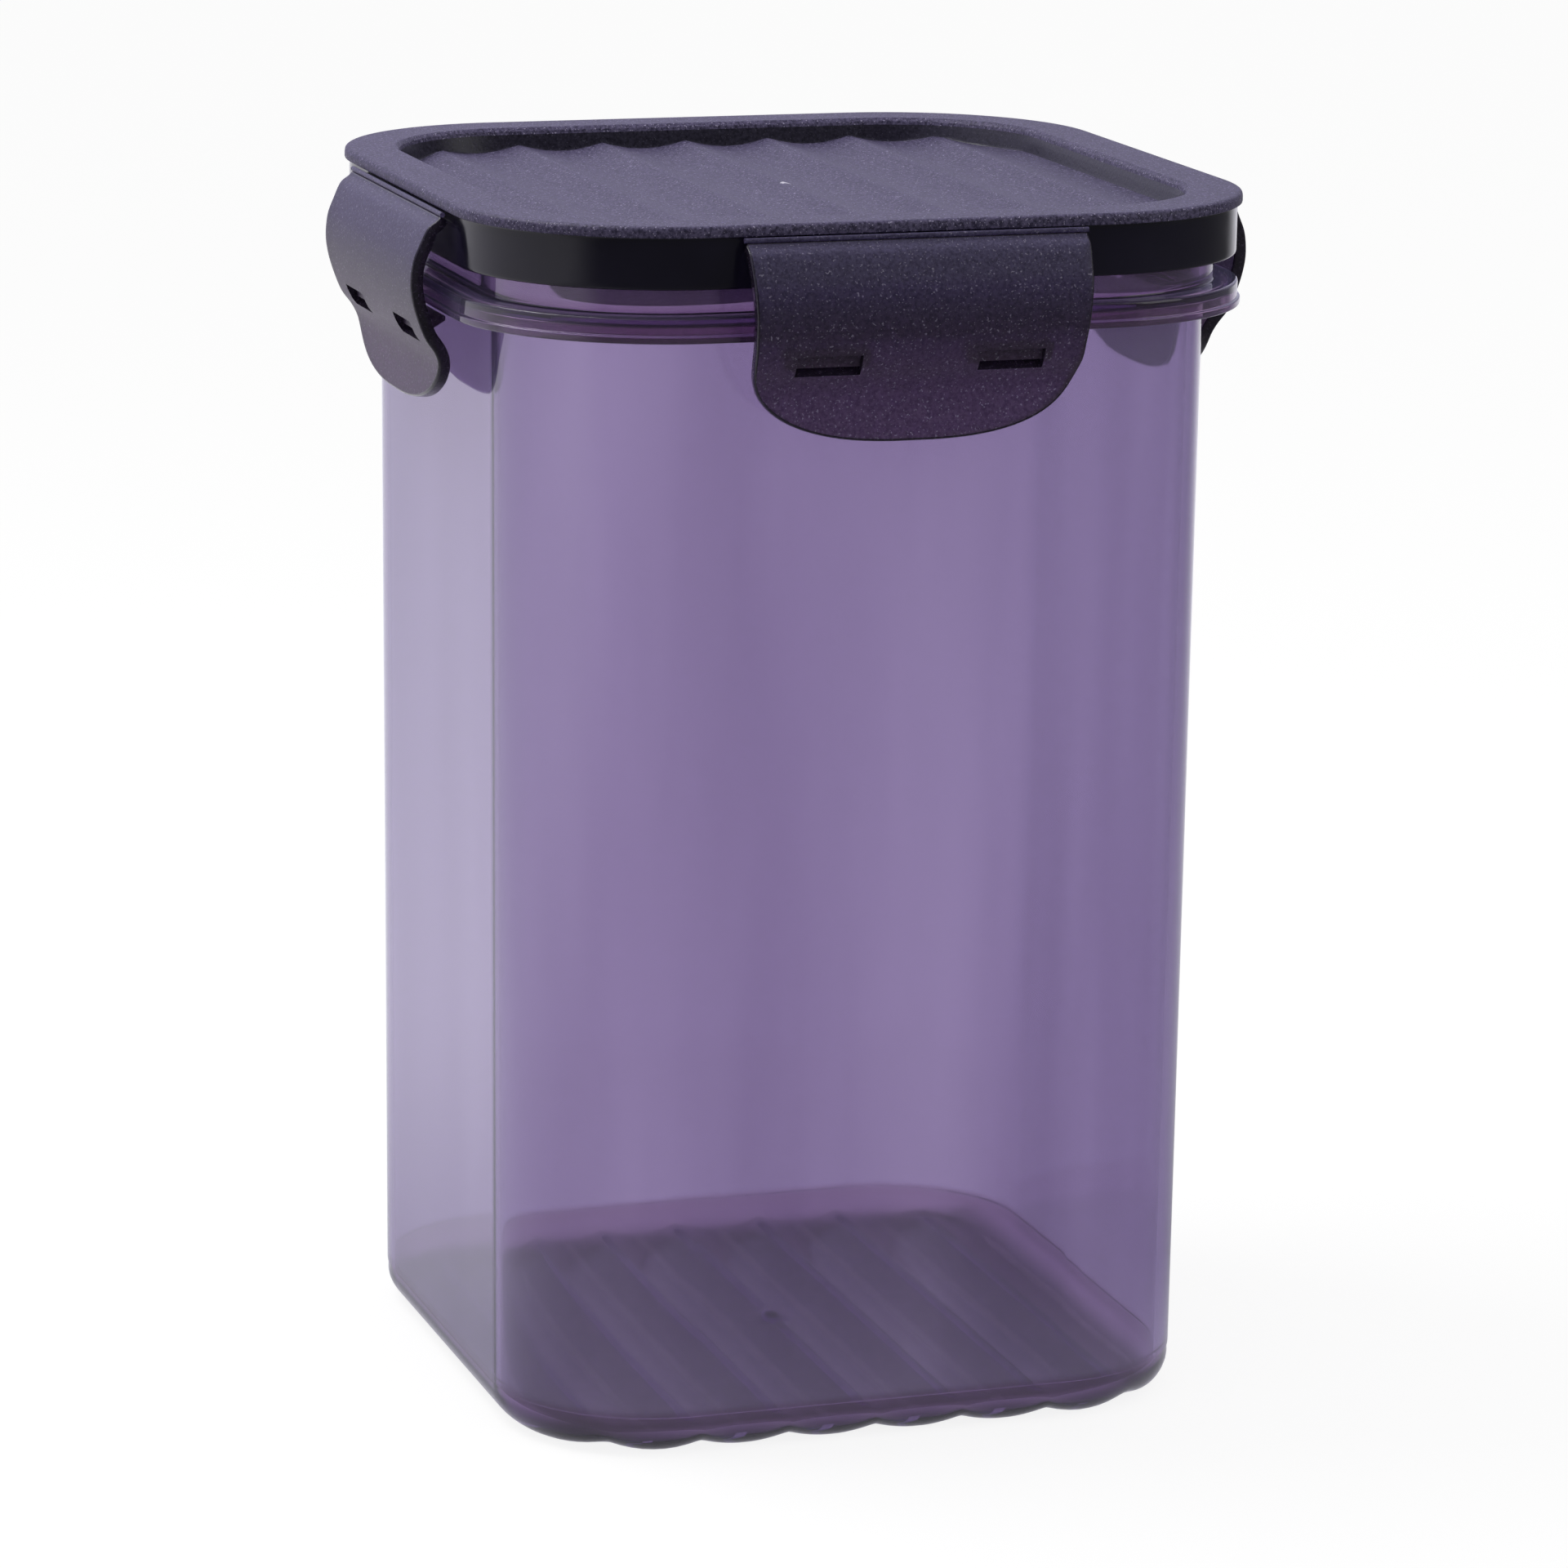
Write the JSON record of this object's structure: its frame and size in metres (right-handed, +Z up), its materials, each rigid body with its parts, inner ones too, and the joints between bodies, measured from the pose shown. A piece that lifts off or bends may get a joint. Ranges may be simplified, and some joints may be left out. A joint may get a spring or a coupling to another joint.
{
  "type": "food canister",
  "caption": "Square food storage canister with rounded corners, recessed ribbed lid and snap latches on its sides.",
  "frame": {"origin": "centre of the footprint, on the plane that the ribbed floor stands on", "axes": "+Z up, from the floor to the lid; the front latch faces -Y, the right latch faces +X; the ribs of the floor and of the lid panel run along Y"},
  "size_m": [0.1246, 0.1246, 0.1765],
  "materials": {
    "clear_body": "gloss",
    "matte_lid": "matte",
    "seal_rubber": "satin"
  },
  "bodies": {
    "container": {"container": "clear_body"},
    "lid": {"lid": "matte_lid", "seal": "seal_rubber"},
    "latch_front": {"latch_front": "matte_lid", "web_front": "matte_lid"},
    "latch_back": {"latch_back": "matte_lid", "web_back": "matte_lid"},
    "latch_left": {"latch_left": "matte_lid", "web_left": "matte_lid"},
    "latch_right": {"latch_right": "matte_lid", "web_right": "matte_lid"}
  },
  "joints": [
    {"name": "lid_lift", "type": "slide", "parent": "container", "child": "lid", "axis": [0, 0, 1], "range_m": [0, 0.018]},
    {"name": "latch_front_open", "type": "hinge", "parent": "lid", "child": "latch_front", "pos_m": [0, -0.05795, 0.1745], "axis": [-1, 0, 0], "range_deg": [0, 109]},
    {"name": "latch_back_open", "type": "hinge", "parent": "lid", "child": "latch_back", "pos_m": [0, 0.05795, 0.1745], "axis": [1, 0, 0], "range_deg": [0, 109]},
    {"name": "latch_left_open", "type": "hinge", "parent": "lid", "child": "latch_left", "pos_m": [-0.05795, 0, 0.1745], "axis": [0, 1, 0], "range_deg": [0, 109]},
    {"name": "latch_right_open", "type": "hinge", "parent": "lid", "child": "latch_right", "pos_m": [0.05795, 0, 0.1745], "axis": [0, -1, 0], "range_deg": [0, 109]}
  ],
  "couplings": [
    {"joint": "latch_front_open", "follows": "lid_lift", "rad_per_m": 104.72},
    {"joint": "latch_back_open", "follows": "lid_lift", "rad_per_m": 104.72},
    {"joint": "latch_left_open", "follows": "lid_lift", "rad_per_m": 104.72},
    {"joint": "latch_right_open", "follows": "lid_lift", "rad_per_m": 104.72}
  ]
}
